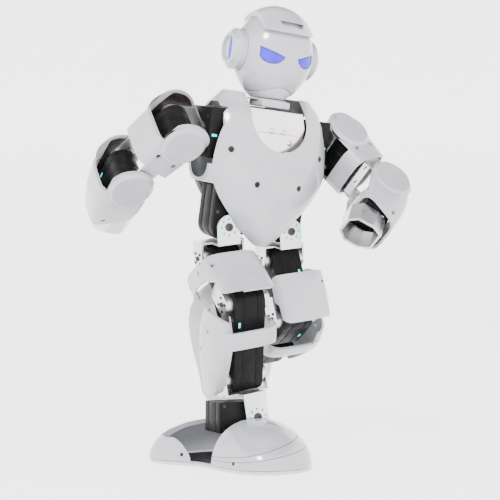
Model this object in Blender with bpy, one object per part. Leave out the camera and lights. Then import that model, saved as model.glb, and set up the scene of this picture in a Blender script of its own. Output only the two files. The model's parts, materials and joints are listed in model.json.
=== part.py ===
"""Desktop humanoid robot with sixteen servo joints, standing on its right foot in a stride.

Every piece is modelled in the frame of the body that carries it. Lengths in the functions are in
millimetres; the meshes are in metres. The robot faces -Y, and its left side is +X. A limb piece is
modelled for the left side, and mirrored for the right.
"""

import math

import bmesh
import bpy
from mathutils import Matrix, Vector

MM = 0.001

# Joint layout, upright
HIP_X = 29.5            # hip roll axes, from the middle
HIP_DROP = 27.0         # hip roll axis down to hip pitch axis
THIGH = 50.0
SHIN = 65.0
ANKLE_DROP = 32.0       # ankle pitch axis down to ankle roll axis
ANKLE_HEIGHT = 38.0     # ankle roll axis above the floor
SHOULDER_X = 77.0
SHOULDER_Z = 73.0
UPPER_ARM = 57.0

# Standard servo: its end is round about the output axis
SERVO_R = 12.0
SERVO_LENGTH = 32.0     # from the axis to the far end
SERVO_HALF = 13.5       # half width along the axis
HORN_R = 8.0
HORN_OUT = 17.7         # horn face from the servo's middle
ARM_IN = 18.0           # bracket arms, inner and outer face
ARM_OUT = 19.5
SHEET = 1.5             # sheet metal thickness
WALL = 2.0              # moulded shell thickness

# Torso
CHEST_BASE = -13.0
CHEST_TOP = 108.0
GAP_Y = 0.3             # half the seam between the chest and back shells
HEAD_Z = 139.0
HEAD_R = Vector((34.0, 31.5, 38.0))

# Joint angles of the standing pose, in degrees about each joint's own axis
STANCE = {
    "right": dict(hip=-10, thigh=-54, shin=60, ankle=-20, foot=9,
                  shoulder=37, upper_arm=28, forearm=-25),
    "left": dict(hip=-9, thigh=-24, shin=72, ankle=38, foot=0,
                 shoulder=-48, upper_arm=-22, forearm=56),
}
SIDES = {"right": -1, "left": 1}

COLOURS = {
    "white_shell": ((0.86, 0.87, 0.89), 0.22, 0.0),
    "black_plastic": ((0.012, 0.012, 0.014), 0.4, 0.0),
    "silver_metal": ((0.62, 0.63, 0.64), 0.34, 1.0),
    "smoke_plastic": ((0.08, 0.07, 0.07), 0.2, 0.0),
    "violet_light": ((0.3, 0.28, 1.0), 0.25, 0.0),
    "board_green": ((0.03, 0.16, 0.08), 0.5, 0.0),
}


# ---------------------------------------------------------------- scene and placing
def clear_scene():
    for obj in list(bpy.data.objects):
        bpy.data.objects.remove(obj, do_unlink=True)


def collection(name):
    group = bpy.data.collections.new(name)
    bpy.context.scene.collection.children.link(group)
    return group


def material(name):
    colour, roughness, metallic = COLOURS[name]
    mat = bpy.data.materials.new(name)
    mat.use_nodes = True
    shader = mat.node_tree.nodes["Principled BSDF"]
    shader.inputs["Base Color"].default_value = (*colour, 1.0)
    shader.inputs["Roughness"].default_value = roughness
    shader.inputs["Metallic"].default_value = metallic
    return mat


def body_tree():
    """Each moving body's parent, place in its parent in millimetres, joint axis and angle."""
    tree = {}
    for side, s in SIDES.items():
        chain = (
            ("hip", "torso", (s * HIP_X, 0, 0), "Y"),
            ("thigh", side + "_hip", (0, 0, -HIP_DROP), "X"),
            ("shin", side + "_thigh", (0, 0, -THIGH), "X"),
            ("ankle", side + "_shin", (0, 0, -SHIN), "X"),
            ("foot", side + "_ankle", (0, 0, -ANKLE_DROP), "Y"),
            ("shoulder", "torso", (s * SHOULDER_X, 0, SHOULDER_Z), "X"),
            ("upper_arm", side + "_shoulder", (0, 0, 0), "Y"),
            ("forearm", side + "_upper_arm", (0, 0, -UPPER_ARM), "Y"),
        )
        for name, parent, place, axis in chain:
            tree[side + "_" + name] = (parent, place, axis, STANCE[side][name])
    return tree


def local_matrix(place, axis, degrees):
    turn = Matrix.Rotation(math.radians(degrees), 4, axis)
    return Matrix.Translation(Vector(place) * MM) @ turn


def body_matrix(tree, name):
    """A body's frame in the torso's frame."""
    if name == "torso":
        return Matrix.Identity(4)
    parent, place, axis, degrees = tree[name]
    return body_matrix(tree, parent) @ local_matrix(place, axis, degrees)


def make_frames():
    """An empty on each joint; the torso is held so that the right foot stands flat on Z = 0."""
    tree = body_tree()
    frames = {"torso": bpy.data.objects.new("torso_frame_axis", None)}
    PARTS.objects.link(frames["torso"])
    sole = body_matrix(tree, "right_foot") @ Matrix.Translation((0, 0, -ANKLE_HEIGHT * MM))
    frames["torso"].matrix_world = sole.inverted()
    for name, (parent, place, axis, degrees) in tree.items():
        empty = bpy.data.objects.new(name + "_axis", None)
        PARTS.objects.link(empty)
        empty.parent = frames[parent]
        empty.matrix_local = local_matrix(place, axis, degrees)
        frames[name] = empty
    return frames


def centre_on_floor(torso):
    """Move the robot so that the middle of its box stands over the origin."""
    bpy.context.view_layer.update()
    graph = bpy.context.evaluated_depsgraph_get()
    corners = []
    for obj in PARTS.objects:
        if obj.type == "MESH":
            seen = obj.evaluated_get(graph)
            corners += [seen.matrix_world @ v.co for v in seen.data.vertices]
    low = [min(c[i] for c in corners) for i in range(3)]
    high = [max(c[i] for c in corners) for i in range(3)]
    shift = Vector((-(low[0] + high[0]) / 2, -(low[1] + high[1]) / 2, -low[2]))
    torso.matrix_world = Matrix.Translation(shift) @ torso.matrix_world
    bpy.context.view_layer.update()


def add(name, bm, frame, mat, s=1, smooth=True):
    """Make a named piece from a bmesh; s = -1 mirrors it to the right side."""
    if s < 0:
        bmesh.ops.scale(bm, vec=(-1, 1, 1), verts=bm.verts)
        bmesh.ops.reverse_faces(bm, faces=bm.faces)
    bmesh.ops.scale(bm, vec=(MM, MM, MM), verts=bm.verts)
    mesh = bpy.data.meshes.new(name)
    bm.to_mesh(mesh)
    bm.free()
    obj = bpy.data.objects.new(name, mesh)
    obj.parent = frame
    if mat is None:
        CUTTERS.objects.link(obj)
        obj.hide_render = True
        obj.display_type = "WIRE"
    else:
        PARTS.objects.link(obj)
        mesh.materials.append(MATERIALS[mat])
        if smooth:
            mesh.shade_smooth()
            mesh.set_sharp_from_angle(angle=math.radians(35))
    return obj


def boolean(obj, bm, operation="DIFFERENCE", s=1):
    """Cut a shape out of a piece, or join it on, with a Boolean modifier."""
    number = len(CUTTERS.objects)
    tool = add(f"tool_{number}", bm, obj.parent, None, s)
    mod = obj.modifiers.new("boolean", "BOOLEAN")
    mod.operation = operation
    mod.solver = "EXACT"
    mod.object = tool
    return obj


# ---------------------------------------------------------------- shapes, in millimetres
def box(low, high, bevel=0.0, segments=1):
    bm = bmesh.new()
    bmesh.ops.create_cube(bm, size=1.0)
    low, high = Vector(low), Vector(high)
    bmesh.ops.scale(bm, vec=high - low, verts=bm.verts)
    bmesh.ops.translate(bm, vec=(low + high) / 2, verts=bm.verts)
    if bevel:
        bmesh.ops.bevel(bm, geom=list(bm.edges), offset=bevel, segments=segments,
                        affect="EDGES", profile=0.5)
    return bm


def turn_to(bm, axis):
    """Turn a shape built along Z so that it lies along the named axis."""
    turns = {"X": Matrix.Rotation(math.pi / 2, 4, "Y"), "Y": Matrix.Rotation(-math.pi / 2, 4, "X"),
             "Z": Matrix.Identity(4)}
    bmesh.ops.transform(bm, matrix=turns[axis], verts=bm.verts)


def cylinder(axis, centre, radius, start, end, sides=16, end_radius=None):
    """A round bar along an axis, from start to end on that axis."""
    bm = bmesh.new()
    bmesh.ops.create_cone(bm, cap_ends=True, segments=sides, radius1=radius,
                          radius2=radius if end_radius is None else end_radius, depth=end - start)
    bmesh.ops.translate(bm, vec=(0, 0, (start + end) / 2), verts=bm.verts)
    turn_to(bm, axis)
    bmesh.ops.translate(bm, vec=centre, verts=bm.verts)
    return bm


def prism(outline, axis, start, end):
    """A flat outline pushed along X, Y or Z. Its points are the other two coordinates in order."""
    others = {"X": (1, 2), "Y": (0, 2), "Z": (0, 1)}[axis]
    along = "XYZ".index(axis)
    bm = bmesh.new()
    ring = []
    for a, b in outline:
        point = [0.0, 0.0, 0.0]
        point[others[0]], point[others[1]], point[along] = a, b, start
        ring.append(bm.verts.new(point))
    face = bm.faces.new(ring)
    pushed = bmesh.ops.extrude_face_region(bm, geom=[face])
    verts = [g for g in pushed["geom"] if isinstance(g, bmesh.types.BMVert)]
    move = [0.0, 0.0, 0.0]
    move[along] = end - start
    bmesh.ops.translate(bm, vec=move, verts=verts)
    bmesh.ops.recalc_face_normals(bm, faces=bm.faces)
    return bm


def arc(centre, radius, start, end, steps):
    """Points on an arc, angles in degrees."""
    points = []
    for i in range(steps + 1):
        angle = math.radians(start + (end - start) * i / steps)
        points.append((centre[0] + radius * math.cos(angle), centre[1] + radius * math.sin(angle)))
    return points


def blend(stations, z):
    """Smooth interpolation of a table of (z, value, value ...) rows at height z."""
    rows = sorted(stations)
    z = min(max(z, rows[0][0]), rows[-1][0])
    for low, high in zip(rows, rows[1:]):
        if z <= high[0]:
            t = (z - low[0]) / (high[0] - low[0])
            t = t * t * (3 - 2 * t) * 0.5 + t * 0.5
            return [a + (b - a) * t for a, b in zip(low[1:], high[1:])]
    return list(rows[-1][1:])


def superellipse(a, b, power, angle):
    c, d = math.cos(angle), math.sin(angle)
    return (a * math.copysign(abs(c) ** (2 / power), c), b * math.copysign(abs(d) ** (2 / power), d))


def loft(rings, closed=True, caps=True):
    """Skin a list of rings of points, which all have the same number of points."""
    bm = bmesh.new()
    rows = [[bm.verts.new(p) for p in ring] for ring in rings]
    count = len(rows[0])
    for low, high in zip(rows, rows[1:]):
        for i in range(count if closed else count - 1):
            j = (i + 1) % count
            bm.faces.new((low[i], low[j], high[j], high[i]))
    if caps:
        bm.faces.new(list(reversed(rows[0])))
        bm.faces.new(rows[-1])
    bmesh.ops.recalc_face_normals(bm, faces=bm.faces)
    bmesh.ops.triangulate(bm, faces=[f for f in bm.faces if len(f.verts) == 4])
    return bm


def tube_rings(stations, power, steps, sides, inset=0.0):
    """Rounded-rectangle rings up Z; a station is (z, half x, half y, centre x, centre y)."""
    low, high = stations[0][0], stations[-1][0]
    rings = []
    for k in range(steps + 1):
        z = low + (high - low) * k / steps
        a, b, cx, cy = blend(stations, z)
        ring = []
        for i in range(sides):
            x, y = superellipse(a - inset, b - inset, power, 2 * math.pi * (i + 0.5) / sides)
            ring.append((cx + x, cy + y, z))
        rings.append(ring)
    return rings


def sleeve(name, frame, stations, s, power=3.5, steps=4, sides=20):
    """An open moulded tube with walls of even thickness."""
    obj = add(name, loft(tube_rings(stations, power, steps, sides)), frame, "white_shell", s)
    core = tube_rings(stations, power, steps, sides, inset=WALL)
    core[0] = [(x, y, z - 1) for x, y, z in core[0]]
    core[-1] = [(x, y, z + 1) for x, y, z in core[-1]]
    return boolean(obj, loft(core), s=s)


# ---------------------------------------------------------------- common mechanical pieces
def servo(name, frame, axis, toward, s=1, centre=(0, 0, 0), length=SERVO_LENGTH):
    """A servo whose output axis passes through centre; its body reaches toward a direction."""
    half_round = arc((0, 0), SERVO_R, 0, 180, 6)
    outline = half_round + [(-SERVO_R, -length), (SERVO_R, -length)]
    body = prism(outline, "X", -SERVO_HALF, SERVO_HALF)
    obj = add(name, place_servo(body, axis, toward, centre), frame, "black_plastic", s, smooth=False)
    horns = cylinder("X", (0, 0, 0), HORN_R, -HORN_OUT, HORN_OUT, sides=14)
    boolean(obj, place_servo(horns, axis, toward, centre), "UNION", s)
    return obj


def place_servo(bm, axis, toward, centre):
    """Turn a servo built with its axis on X and its body down, and move it to its place."""
    down = Vector({"-Z": (0, 0, -1), "+Z": (0, 0, 1), "+X": (1, 0, 0)}[toward])
    along = Vector({"X": (1, 0, 0), "Y": (0, 1, 0)}[axis])
    third = (-down).cross(along)
    turn = Matrix((along, third, -down)).transposed().to_4x4()
    bmesh.ops.transform(bm, matrix=Matrix.Translation(Vector(centre)) @ turn, verts=bm.verts)
    return bm


def yoke(name, frame, axis, plate, reach, s, half=8.0):
    """A sheet-metal U: a plate across at height plate, with two arms that hold a joint axis."""
    low, high = (plate - SHEET, plate) if plate > reach else (plate, plate + SHEET)
    outer = [(-ARM_OUT, low), (ARM_OUT, low), (ARM_OUT, high), (-ARM_OUT, high)]
    bm = prism(outer, "Y" if axis == "X" else "X", -half, half)
    obj = add(name, bm, frame, "silver_metal", s, smooth=False)
    tip = arc((0, reach), half, 180, 360, 6) if plate > reach else arc((0, reach), half, 0, 180, 6)
    middle = (low + high) / 2
    outline = tip + ([(half, middle), (-half, middle)] if plate > reach
                     else [(-half, middle), (half, middle)])
    for sign in (-1, 1):
        start, end = sorted((sign * ARM_IN, sign * ARM_OUT))
        boolean(obj, prism(outline, axis, start, end), "UNION", s)
    return obj


# ---------------------------------------------------------------- torso
CHEST = (  # z, half width, front depth, back depth
    (-13, 9, 27, 14), (-9, 15, 30, 18), (-3, 22, 33, 24), (6, 31, 35.5, 29), (16, 41, 37.5, 33),
    (27, 50, 39, 35), (42, 58, 39, 37), (60, 59, 37, 38), (80, 56, 33, 37), (96, 50, 25, 31),
    (108, 40, 12, 18),
)


def chest_point(z, turn, front, inset=0.0):
    """A point on the torso shell; turn runs from -1 at the robot's right to 1 at its left."""
    width, depth_front, depth_back = blend(CHEST, z)
    depth = (depth_front if front else depth_back) - inset
    x, y = superellipse(width - inset, depth, 2.3, math.pi / 2 * (1 - turn))
    return (x, -y if front else y, z)


def torso_shell(name, front, steps, sides):
    """Half of the torso's skin, as a closed wall of even thickness."""
    outer, inner = [], []
    gap = GAP_Y if front else -GAP_Y
    for k in range(steps + 1):
        z = CHEST_BASE + (CHEST_TOP - CHEST_BASE) * k / steps
        turns = [-1 + 2 * i / sides for i in range(sides + 1)]
        a = [chest_point(z, t, front) for t in turns]
        b = [chest_point(z, t, front, WALL) for t in reversed(turns)]
        outer.append([(x, y - gap, z) for x, y, z in a] + [(x, y - gap, z) for x, y, z in b])
    return add(name, loft(outer), FRAMES["torso"], "white_shell")


def neckline(y0, y1, half=26.0, bottom=64.0):
    """The U cut for the neck, through the shell from y0 to y1."""
    lift = bottom + half
    return prism([(half, 130)] + [(-half, 130)] + arc((0, lift), half, 180, 360, 13), "Y", y0, y1)


def make_torso():
    chest = torso_shell("chest_cover", True, 11, 18)
    back = torso_shell("back_cover", False, 8, 14)
    boolean(chest, neckline(-60, 5))
    boolean(back, prism([(-16, 130), (-16, 98), (16, 98), (16, 130)], "Y", -5, 60))
    for obj in (chest, back):
        boolean(obj, box((-16.9, -21.2, -30), (16.9, 23.4, 1.5)))
        for s in (-1, 1):
            boolean(obj, box((46, -21, 49), (70, 21, 98)), s=s)
            boolean(obj, box((29.5, -16.8, 51), (50, 16.8, 94.5)), s=s)
            boolean(obj, box((16.8, -20.4, -30), (60, 22.6, 34)), s=s)
    for x, z in ((41.3, 62.2), (19.3, 37.3)):
        for s in (-1, 1):
            boolean(chest, cylinder("Y", (x, 0, z), 2.1, -60, -22, 10), s=s)
    shape = [(-26.5, 84), (-26.5, 62), (-22, 52), (22, 52), (26.5, 62), (26.5, 84)]
    plate = add("inner_chest_plate", prism(shape, "Y", -26, -24), FRAMES["torso"], "smoke_plastic")
    for x, z in ((-6, 80), (5, 80), (12, 72), (11, 63)):
        boolean(plate, cylinder("Y", (x, 0, z), 2.2, -27.5, -25, 10), "UNION")
    frame = add("torso_frame", box((-16, -14, -6), (16, -12.5, 98)), FRAMES["torso"], "silver_metal",
                smooth=False)
    boolean(frame, box((-16, -13, 96.5), (16, 14, 98)), "UNION")
    boolean(frame, box((-16, -13, 44), (16, 14, 45.5)), "UNION")
    add("battery_pack", box((-15, -8, 2), (15, 14, 42), 2), FRAMES["torso"], "black_plastic")
    add("control_board", box((-14, 16, 20), (14, 17.6, 84)), FRAMES["torso"], "board_green")
    add("speaker", cylinder("Y", (0, 0, 70), 12, -11, -3, 16, 9), FRAMES["torso"], "black_plastic")
    neck = add("neck_bracket", box((-12.5, -5, 98.3), (12.5, 5, 104.9)), FRAMES["torso"], "white_shell")
    boolean(neck, cylinder("Z", (0, 0, 0), 17, 103.6, 104.9, 20), "UNION")
    add("power_button", cylinder("Y", (0, 0, 84), 4.2, 34.4, 39.4, 14), FRAMES["torso"],
        "black_plastic")
    boolean(back, cylinder("Y", (0, 0, 84), 4.7, 20, 60, 14))


def make_torso_servos():
    for side, s in SIDES.items():
        servo(side + "_hip_roll_servo", FRAMES["torso"], "Y", "+Z", s, centre=(HIP_X, 0, 0))
        body = box((30, -16, 53), (56, 16, 93), 1.0)
        obj = add(side + "_shoulder_pitch_servo", body, FRAMES["torso"], "black_plastic", s, smooth=False)
        boolean(obj, cylinder("X", (0, 0, SHOULDER_Z), HORN_R, 50, 58.2, 14), "UNION", s)


# ---------------------------------------------------------------- head
def head_point(turn, tilt, grow=0.0):
    """A point on the egg-shaped head; turn is the heading from the face, tilt the elevation."""
    across = math.cos(tilt)
    x = (HEAD_R.x + grow) * across * math.sin(turn)
    y = -(HEAD_R.y + grow) * across * math.cos(turn)
    z = (HEAD_R.z + grow) * math.sin(tilt)
    chin = max(0.0, -math.sin(tilt))
    return Vector((x * (1 - 0.16 * chin), y * (1 - 0.10 * chin) - 1.0, z)) + Vector((0, 0, HEAD_Z))


def egg(grow, sides=24, rows=11, low=-62):
    rings = []
    top = 88
    for k in range(rows + 1):
        tilt = math.radians(low + (top - low) * k / rows)
        rings.append([head_point(2 * math.pi * i / sides, tilt, grow) for i in range(sides)])
    return loft(rings)


def eye_outline(grow=0.0):
    """The left eye in the face plane: flat brow that drops to the nose, round below."""
    inner, outer = (6.0 - grow, 138.0), (24.0 + grow, 144.5 + grow)
    return [inner, (8.5, 133.4 - grow), (13.5, 130.6 - grow), (19.0, 131.6 - grow),
            (23.0 + grow, 136.5), outer]


def make_head():
    torso = FRAMES["torso"]
    front = add("head_front", egg(0), torso, "white_shell")
    boolean(front, egg(-WALL, low=-66))
    boolean(front, box((-50, 4, 90), (50, 60, 190)))
    rear = add("head_rear", egg(0, rows=9), torso, "white_shell")
    boolean(rear, egg(-WALL, rows=9, low=-66))
    boolean(rear, box((-50, -60, 90), (50, 4.3, 190)))
    for s, side in ((-1, "right"), (1, "left")):
        boolean(front, prism(eye_outline(0.3), "Y", -60, -5), s=s)
        for shell in (front, rear):
            boolean(shell, cylinder("X", (0, 2, HEAD_Z + 2), 16.8, 20, 60, 18), s=s)
        lens = add(side + "_eye_lens", egg(-0.1), torso, "violet_light", s)
        boolean(lens, prism(eye_outline(), "Y", -60, -5), "INTERSECT", s)
        boolean(lens, egg(-1.6, low=-66), s=s)
        disc = cylinder("X", (0, 2, HEAD_Z + 2), 16.4, 28, 35.5, 18)
        ear = add(side + "_ear_disc", disc, torso, "white_shell", s)
        boolean(ear, cylinder("X", (0, 2, HEAD_Z + 2), 16.4, 35, 39.5, 18, 12.0), "UNION", s)
        boolean(ear, cylinder("X", (0, 2, HEAD_Z + 2), 9.5, 37.5, 42, 14, 10.5), s=s)
    cap = add("brow_cap", egg(3.2, rows=9), torso, "white_shell")
    boolean(cap, egg(0.3, low=-66))
    crest = [(-60, HEAD_Z + 16), (-20, HEAD_Z + 19), (30, HEAD_Z + 30), (30, 210), (-60, 210)]
    boolean(cap, prism(crest, "X", -22, 22), "INTERSECT")
    boolean(cap, prism([(-9, HEAD_Z + 23), (9, HEAD_Z + 23), (11, HEAD_Z + 27), (-11, HEAD_Z + 27)],
                       "Y", -60, -20))


# ---------------------------------------------------------------- arms
def arm_sleeve(name, frame, s, end, inner_end, disc, outer_top, inner_top, taper):
    """A limb shell: a disc plate front and back on the joint, an outer wall, and a lower sleeve."""
    stations = ((end, *taper, 0.0, 0.0), (end * 0.5, 20.0, 22.6, 0.0, 0.0),
                (0, 21.5, 22.8, 0.0, 0.0), (disc, 21.0, 22.4, 0.0, 0.0))
    obj = sleeve(name, frame, stations, s, power=4.5, steps=4)
    plate = arc((0, 0), disc - 0.4, -20, 200, 16)
    plate += [(-24, -10), (-24, inner_end), (24, end - 2), (24, -10)]
    boolean(obj, prism(plate, "Y", -40, 40), "INTERSECT", s)
    opening = [(-40, inner_top), (0, inner_top), (0, outer_top), (40, outer_top), (40, 40), (-40, 40)]
    boolean(obj, prism(opening, "Y", -19.9, 19.9), s=s)
    for y in (-1, 1):
        start, stop = (-24.4, -22) if y < 0 else (22, 24.4)
        rim, face = (15.5, 18.5) if y < 0 else (18.5, 15.5)
        boolean(obj, cylinder("Y", (0, 0, 0), rim, start, stop, 16, face), "UNION", s)
    return obj


def make_hand(name, frame, s):
    """A faceted ring of bent strip below the forearm, on a tab screwed to the servo."""
    outer = [(8, -9), (8, 9), (-2, 13.5), (-15, 13.5), (-22, 7), (-22, -7), (-15, -13.5), (-2, -13.5)]
    inner = [(x - 1.8 if x > 0 else x + (1.8 if x < -16 else 0.6), y * 0.87) for x, y in outer]
    hand = add(name, prism(outer, "Z", -57, -37), frame, "silver_metal", s, smooth=False)
    boolean(hand, prism(inner, "Z", -60, -30), s=s)
    boolean(hand, box((6.2, -8, -44), (8, 8, -31)), "UNION", s)
    boolean(hand, box((-8, -8, -32.2), (7, 8, -30.6)), "UNION", s)


def make_arm(side, s):
    shoulder, upper, fore = (FRAMES[side + "_" + n] for n in ("shoulder", "upper_arm", "forearm"))
    plate = box((-18.5, -ARM_OUT, -10), (-17, ARM_OUT, 10))
    bracket = add(side + "_shoulder_bracket", plate, shoulder, "silver_metal", s, smooth=False)
    tip = arc((0, 0), HORN_R, -90, 90, 6) + [(-17.8, HORN_R), (-17.8, -HORN_R)]
    for sign in (-1, 1):
        start, end = sorted((sign * ARM_IN, sign * ARM_OUT))
        boolean(bracket, prism(tip, "Y", start, end), "UNION", s)
    servo(side + "_shoulder_roll_servo", upper, "Y", "-Z", s, length=30)
    servo(side + "_elbow_servo", fore, "Y", "-Z", s, length=30)
    arm_sleeve(side + "_upper_arm_cover", upper, s, end=-32, inner_end=-35, disc=21, outer_top=-6,
               inner_top=-17, taper=(19, 22))
    arm_sleeve(side + "_forearm_cover", fore, s, end=-50, inner_end=-27, disc=20, outer_top=-6,
               inner_top=-25, taper=(14, 17))
    yoke(side + "_elbow_bracket", upper, "Y", -30.4, -UPPER_ARM, s)
    make_hand(side + "_hand", fore, s)


# ---------------------------------------------------------------- legs
def make_leg(side, s):
    hip, thigh, shin, ankle, foot = (FRAMES[side + "_" + n] for n in
                                     ("hip", "thigh", "shin", "ankle", "foot"))
    horn_plate(side + "_hip_bracket", hip, s, pivot=-HIP_DROP, edge=-HIP_DROP + 13.9)
    horn_plate(side + "_ankle_bracket", ankle, s, pivot=0, edge=-13.9)
    servo(side + "_hip_pitch_servo", thigh, "X", "-Z", s)
    servo(side + "_knee_servo", shin, "X", "-Z", s, length=27)
    servo(side + "_ankle_pitch_servo", shin, "X", "+Z", s, centre=(0, 0, -SHIN), length=30)
    servo(side + "_ankle_roll_servo", foot, "Y", "+X", s, length=31)
    yoke(side + "_thigh_bracket", thigh, "X", -32.4, -THIGH, s)
    stations = ((-58, 25.6, 21, 3, -3), (-36, 27.0, 25.5, 3.4, 1), (-10, 26.8, 24, 3.4, 1))
    cover = sleeve(side + "_thigh_cover", thigh, stations, s, power=4.0)
    below = [(40, -70), (40, -25), (4, -26), (-12, -34), (-19, -42), (-19, -70)]
    above = [(-40, 5), (-40, -17), (-14, -17), (8, -9.5), (40, -9.5), (40, 5)]
    boolean(cover, prism(below, "X", -40, 40), s=s)
    boolean(cover, prism(above, "X", -40, 40), s=s)
    boolean(cover, box((-40, -16, -80), (20.6, 40, 20)), s=s)
    stations = ((-76, 25.6, 11, 4, 2), (-50, 28.2, 18, 4.6, 0), (-24, 28.8, 21, 5.0, -2),
                (-4, 27.0, 17, 4, -1))
    cover = sleeve(side + "_shin_cover", shin, stations, s, power=4.0)
    boolean(cover, box((-40, 5, -80), (22.0, 40, 20)), s=s)
    boolean(cover, box((-40, -40, -17), (20.6, 40, 20)), s=s)
    boolean(cover, box((-40, -40, -80), (20.8, 40, -31)), s=s)


def horn_plate(name, frame, s, pivot, edge):
    """A bracket from a pitch joint's two sides to the round horn of a roll joint in front."""
    obj = yoke(name, frame, "X", edge, pivot, s)
    roll = pivot + HIP_DROP if edge > pivot else pivot - ANKLE_DROP
    front = [(-10, edge), (10, edge)] if edge < roll else [(10, edge), (-10, edge)]
    start = 0 if edge < roll else 180
    outline = front + arc((0, roll), 10, start, start + 180, 8)
    boolean(obj, prism(outline, "Y", -ARM_OUT, -ARM_IN), "UNION", s)
    level = sorted((edge, edge + SHEET * (1 if edge < pivot else -1)))
    boolean(obj, box((-10, -ARM_OUT, level[0]), (10, 5, level[1])), "UNION", s)
    return obj


def foot_outline(grow=0.0):
    """The sole of a left foot: straight inside, round toe, and a flare at the outer heel."""
    toe = [(-33 - grow, -36), (-29, -54 - grow), (-16, -67 - grow), (2, -71 - grow), (19, -68 - grow),
           (32 + grow, -57 - grow), (39 + grow, -40)]
    return toe + [(46 + grow, -6), (67 + grow, 28), (67 + grow, 44), (62, 49 + grow), (-28, 49 + grow),
                  (-33 - grow, 44)]


def make_foot(side, s):
    foot = FRAMES[side + "_foot"]
    base = -ANKLE_HEIGHT
    add(side + "_foot_sole", prism(foot_outline(-1.0), "Z", base, base + 3), foot, "black_plastic", s,
        smooth=False)
    rings = []
    for rise, shrink in ((0, 0.0), (8, 0.01), (17, 0.08), (25, 0.22), (31, 0.42), (34.5, 0.66)):
        ring = []
        for x, y in foot_outline():
            cx, cy = 2, 4
            ring.append((cx + (x - cx) * (1 - shrink), cy + (y - cy) * (1 - shrink), base + 3.3 + rise))
        rings.append(ring)
    cover = add(side + "_foot_cover", loft(rings), foot, "white_shell", s)
    inner = [[(2 + (x - 2) * 0.93, 4 + (y - 4) * 0.95, z - 2.4) for x, y, z in ring] for ring in rings]
    boolean(cover, loft(inner), s=s)
    well = [(-25, -22), (43, -22), (46, -8), (60, 26), (60, 41), (-25, 41)]
    boolean(cover, prism(well, "Z", -34, 30), s=s)


# ---------------------------------------------------------------- build
clear_scene()
PARTS = collection("humanoid_robot")
CUTTERS = collection("cutters")
MATERIALS = {name: material(name) for name in COLOURS}
FRAMES = make_frames()
make_torso()
make_torso_servos()
make_head()
for SIDE, SIGN in SIDES.items():
    make_arm(SIDE, SIGN)
    make_leg(SIDE, SIGN)
    make_foot(SIDE, SIGN)
centre_on_floor(FRAMES["torso"])
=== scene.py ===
"""Looks of the desktop humanoid robot: moulded shells, servo modules, sheet-metal brackets, screws and lamps.

Each piece is modelled in millimetres in the frame of the body that carries it, and placed through the packed
joints. The robot faces -Y, and its left side is +X. A limb piece is modelled for the left side and mirrored
for the right.
"""

import json
import math

import bmesh
import bpy
from mathutils import Matrix, Vector


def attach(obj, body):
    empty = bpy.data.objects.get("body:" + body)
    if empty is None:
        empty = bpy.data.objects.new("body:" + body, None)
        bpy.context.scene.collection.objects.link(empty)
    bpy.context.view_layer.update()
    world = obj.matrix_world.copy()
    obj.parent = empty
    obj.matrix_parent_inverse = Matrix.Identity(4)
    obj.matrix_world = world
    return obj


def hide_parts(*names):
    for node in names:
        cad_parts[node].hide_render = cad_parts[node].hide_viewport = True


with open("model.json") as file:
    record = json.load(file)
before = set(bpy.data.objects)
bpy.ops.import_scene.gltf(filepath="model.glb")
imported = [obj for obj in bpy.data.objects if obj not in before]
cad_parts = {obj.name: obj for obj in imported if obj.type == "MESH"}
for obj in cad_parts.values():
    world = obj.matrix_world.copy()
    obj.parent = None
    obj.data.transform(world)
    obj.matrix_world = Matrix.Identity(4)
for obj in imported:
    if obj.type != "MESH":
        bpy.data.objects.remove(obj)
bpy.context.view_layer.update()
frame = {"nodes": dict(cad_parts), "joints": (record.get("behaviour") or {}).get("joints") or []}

MM = 0.001
SIDES = {"right": -1, "left": 1}

# Joint layout and part sizes, as in the CAD
HIP_X = 29.5
HIP_DROP = 27.0
THIGH = 50.0
SHIN = 65.0
ANKLE_DROP = 32.0
ANKLE_HEIGHT = 38.0
UPPER_ARM = 57.0
SHOULDER_Z = 73.0
SERVO_R = 12.0
SERVO_LENGTH = 32.0
SERVO_HALF = 13.5
HORN_R = 8.0
HORN_OUT = 17.7
ARM_IN = 18.0
ARM_OUT = 19.5
SHEET = 1.5
WALL = 2.0
GAP_Y = 0.3
CHEST_BASE = -13.0
CHEST_TOP = 108.0
HEAD_Z = 139.0
HEAD_R = Vector((34.0, 31.5, 38.0))

# Standing pose: each body's parent, joint axis and joint angle in degrees, right then left
CHAIN = {
    "hip": ("torso", "Y", -10, -9), "thigh": ("hip", "X", -54, -24), "shin": ("thigh", "X", 60, 72),
    "ankle": ("shin", "X", -20, 38), "foot": ("ankle", "Y", 9, 0), "shoulder": ("torso", "X", 37, -48),
    "upper_arm": ("shoulder", "Y", 28, -22), "forearm": ("upper_arm", "Y", -25, 56),
}


# ---------------------------------------------------------------- frames
def body_frames():
    """Each body's frame at rest, which takes local millimetres to the row frame in metres."""
    places = {j["child"]: j for j in frame["joints"]}
    right, left = (Vector(places[side + "_hip"]["pos_m"]) for side in SIDES)
    forward = Vector(places["left_hip"]["axis"]).normalized()
    across = (left - right).normalized()
    turn = Matrix((across, forward, across.cross(forward))).transposed().to_4x4()
    frames = {"torso": Matrix.Translation((left + right) / 2) @ turn}
    for index, side in enumerate(SIDES):
        for name, (parent, axis, *angles) in CHAIN.items():
            above = frames[parent if parent == "torso" else side + "_" + parent]
            turned = above.to_3x3().to_4x4() @ Matrix.Rotation(math.radians(angles[index]), 4, axis)
            place = Vector(places[side + "_" + name]["pos_m"])
            frames[side + "_" + name] = Matrix.Translation(place) @ turned
    frames["button"] = frames["torso"]
    return {name: matrix @ Matrix.Scale(MM, 4) for name, matrix in frames.items()}


BODY = body_frames()


# ---------------------------------------------------------------- materials
def shader_nodes(name):
    mat = bpy.data.materials.new(name)
    mat.use_nodes = True
    return mat, mat.node_tree.nodes, mat.node_tree.links, mat.node_tree.nodes["Principled BSDF"]


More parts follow.
